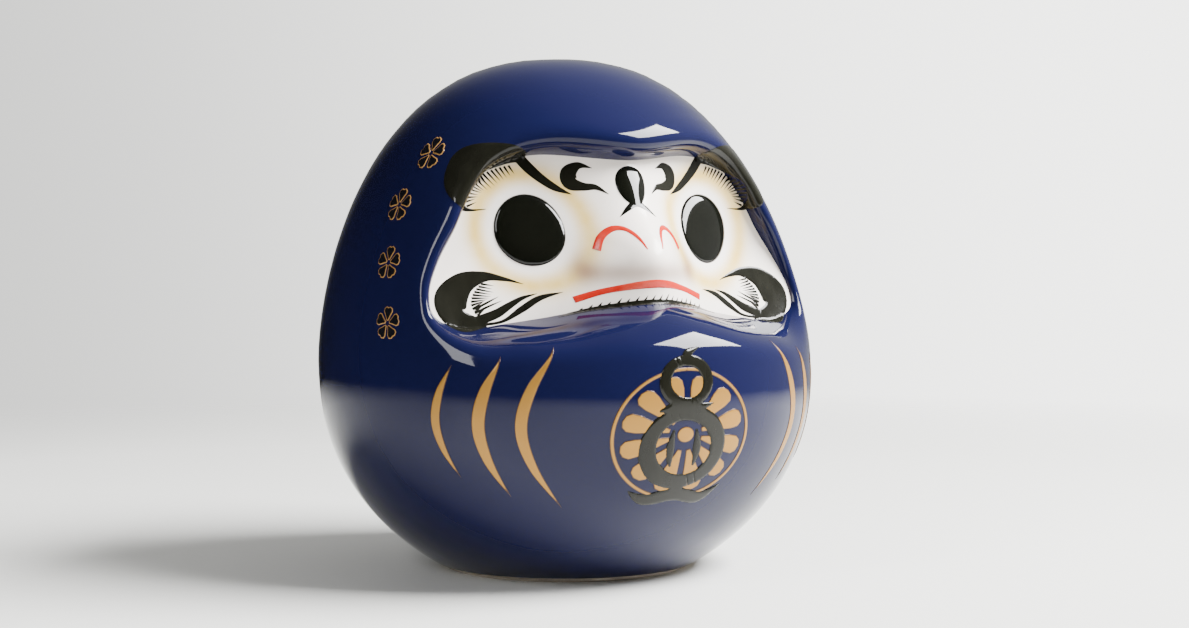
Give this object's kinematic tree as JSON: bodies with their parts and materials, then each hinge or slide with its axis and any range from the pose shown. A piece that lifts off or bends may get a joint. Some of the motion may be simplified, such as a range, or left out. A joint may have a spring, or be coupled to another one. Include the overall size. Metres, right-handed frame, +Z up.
{
  "type": "daruma doll",
  "caption": "Hollow glazed ceramic daruma doll made as a money box, with painted face and robe, a coin slot behind the head and a rubber stopper in the base.",
  "frame": {"origin": "centre of the foot, on the table", "axes": "+Z up; the doll faces -Y; +X is towards the doll's own left side"},
  "size_m": [0.1462, 0.1471, 0.15],
  "materials": {
    "ceramic": "bare fired clay, pale and matt",
    "blue_glaze": "deep cobalt gloss glaze",
    "white_glaze": "warm white gloss glaze",
    "black_enamel": "black gloss enamel, fired on",
    "red_enamel": "red gloss enamel, fired on",
    "gold": "satin gold enamel, fired on",
    "rubber": "pale matt rubber"
  },
  "bodies": {
    "doll": {"ceramic_body": "ceramic", "blue_glaze": "blue_glaze", "white_face_glaze": "white_glaze", "bridge_mark": "black_enamel", "mouth_line": "red_enamel", "beard_strokes": "black_enamel", "crest_ring": "gold", "crest_petals": "gold", "crest_hub": "gold", "belly_motif": "black_enamel", "right_pupil": "black_enamel", "left_pupil": "black_enamel", "right_brow": "black_enamel", "left_brow": "black_enamel", "right_brow_stroke": "black_enamel", "left_brow_stroke": "black_enamel", "right_forehead_mark": "black_enamel", "left_forehead_mark": "black_enamel", "right_nose_line": "red_enamel", "left_nose_line": "red_enamel", "right_whisker": "black_enamel", "left_whisker": "black_enamel", "right_robe_stripe_1": "gold", "left_robe_stripe_1": "gold", "right_robe_stripe_2": "gold", "left_robe_stripe_2": "gold", "right_robe_stripe_3": "gold", "left_robe_stripe_3": "gold", "right_side_blossoms": "black_enamel", "left_side_blossoms": "black_enamel"},
    "stopper": {"stopper": "rubber"}
  },
  "joints": [
    {"name": "stopper_pull", "type": "slide", "parent": "doll", "child": "stopper", "axis": [0, 0, -1], "range_m": [0, 0.02]}
  ]
}
